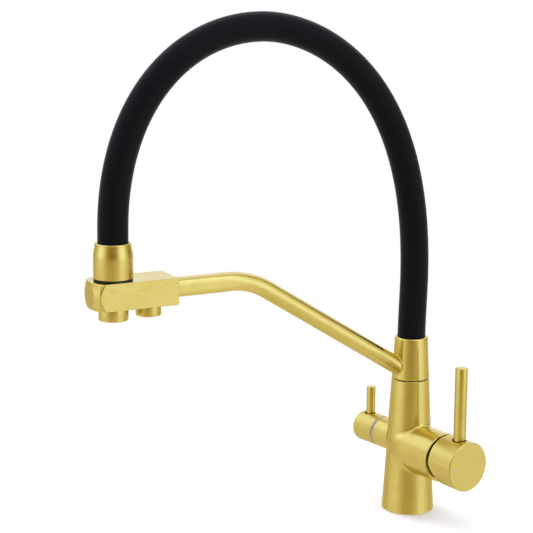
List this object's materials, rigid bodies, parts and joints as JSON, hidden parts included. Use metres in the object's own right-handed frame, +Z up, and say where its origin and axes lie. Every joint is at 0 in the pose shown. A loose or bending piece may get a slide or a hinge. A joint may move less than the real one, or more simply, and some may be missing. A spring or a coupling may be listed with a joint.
{
  "type": "three way filtered water tap",
  "caption": "Tall kitchen mixer tap with side levers for mixed and filtered water, a swivelling tube arm with a two-outlet block and an arched soft hose.",
  "frame": {"origin": "centre of the column's foot, in the plane of the worktop that it stands on", "axes": "+Z up along the column and its swivel; +X out along the mixer barrel, so -X is the filter valve; the spout points to the front, -Y, swung 7.5 degrees about the column towards -X as pictured"},
  "size_m": [0.1463, 0.3384, 0.4605],
  "materials": {
    "brushed_gold": "satin, finely brushed gold coating",
    "plain_brass": "machined, uncoated",
    "steel": "machined stainless",
    "black_rubber": "moulded seal rubber",
    "black_plastic": "moulded, matt",
    "white_plastic": "moulded, matt",
    "grey_plastic": "moulded nylon, matt",
    "ceramic": "lapped alumina",
    "silicone": "smooth matt silicone sleeve"
  },
  "bodies": {
    "base": {"column": "brushed_gold", "deck_gasket": "black_rubber", "hot_inlet": "plain_brass", "cold_inlet": "plain_brass", "filter_inlet": "plain_brass", "fixing_stud": "steel", "cartridge_base_seal": "black_rubber", "cartridge_base": "white_plastic", "ceramic_disc_fixed": "ceramic", "cartridge_shell": "white_plastic", "cartridge_nut": "plain_brass", "mixer_dome": "black_plastic", "valve_seal": "black_rubber", "valve_disc_fixed": "ceramic", "valve_body": "plain_brass", "knob_washer": "grey_plastic", "swivel_spigot": "plain_brass", "swivel_ring_lower": "black_rubber", "swivel_ring_upper": "black_rubber", "slip_ring": "black_plastic"},
    "spout": {"swivel_collar": "brushed_gold", "collar_circlip": "steel", "arm_tube": "brushed_gold", "outlet_block": "brushed_gold", "main_nozzle": "brushed_gold", "main_aerator": "black_plastic", "filter_nozzle": "brushed_gold", "filter_aerator": "black_plastic", "ferrule": "brushed_gold", "ferrule_ring": "black_rubber", "hose_sleeve": "silicone", "hose_tube": "white_plastic", "hose_fitting_lower": "plain_brass", "hose_fitting_upper": "plain_brass"},
    "mixer_turn": {"cartridge_carrier": "white_plastic", "stem_pin": "steel"},
    "mixer_disc": {"ceramic_disc_moving": "ceramic", "disc_driver": "black_plastic"},
    "mixer_handle": {"mixer_stem": "steel", "mixer_cap": "brushed_gold", "mixer_lever": "brushed_gold", "mixer_grub_screw": "steel"},
    "filter_handle": {"valve_disc_moving": "ceramic", "valve_stem": "plain_brass", "valve_stem_ring": "black_rubber", "filter_knob": "brushed_gold", "filter_lever": "brushed_gold", "filter_grub_screw": "steel"}
  },
  "joints": [
    {"name": "spout_swivel", "type": "hinge", "parent": "base", "child": "spout", "pos_m": [0, 0, 0.1367], "axis": [0, 0, 1], "continuous": true},
    {"name": "mixer_temperature", "type": "hinge", "parent": "base", "child": "mixer_turn", "pos_m": [0.038, 0, 0.06], "axis": [1, 0, 0], "range_deg": [-50, 50]},
    {"name": "mixer_flow", "type": "hinge", "parent": "mixer_turn", "child": "mixer_handle", "pos_m": [0.038, 0, 0.06], "axis": [0, 1, 0], "range_deg": [0, 20]},
    {"name": "mixer_disc_slide", "type": "slide", "parent": "mixer_turn", "child": "mixer_disc", "axis": [0, 0, 1], "range_m": [0, 0.0032]},
    {"name": "filter_valve", "type": "hinge", "parent": "base", "child": "filter_handle", "pos_m": [-0.04, 0, 0.063], "axis": [1, 0, 0], "range_deg": [0, 90]}
  ],
  "couplings": [
    {"joint": "mixer_disc_slide", "follows": "mixer_flow", "m_per_rad": 0.008818}
  ]
}
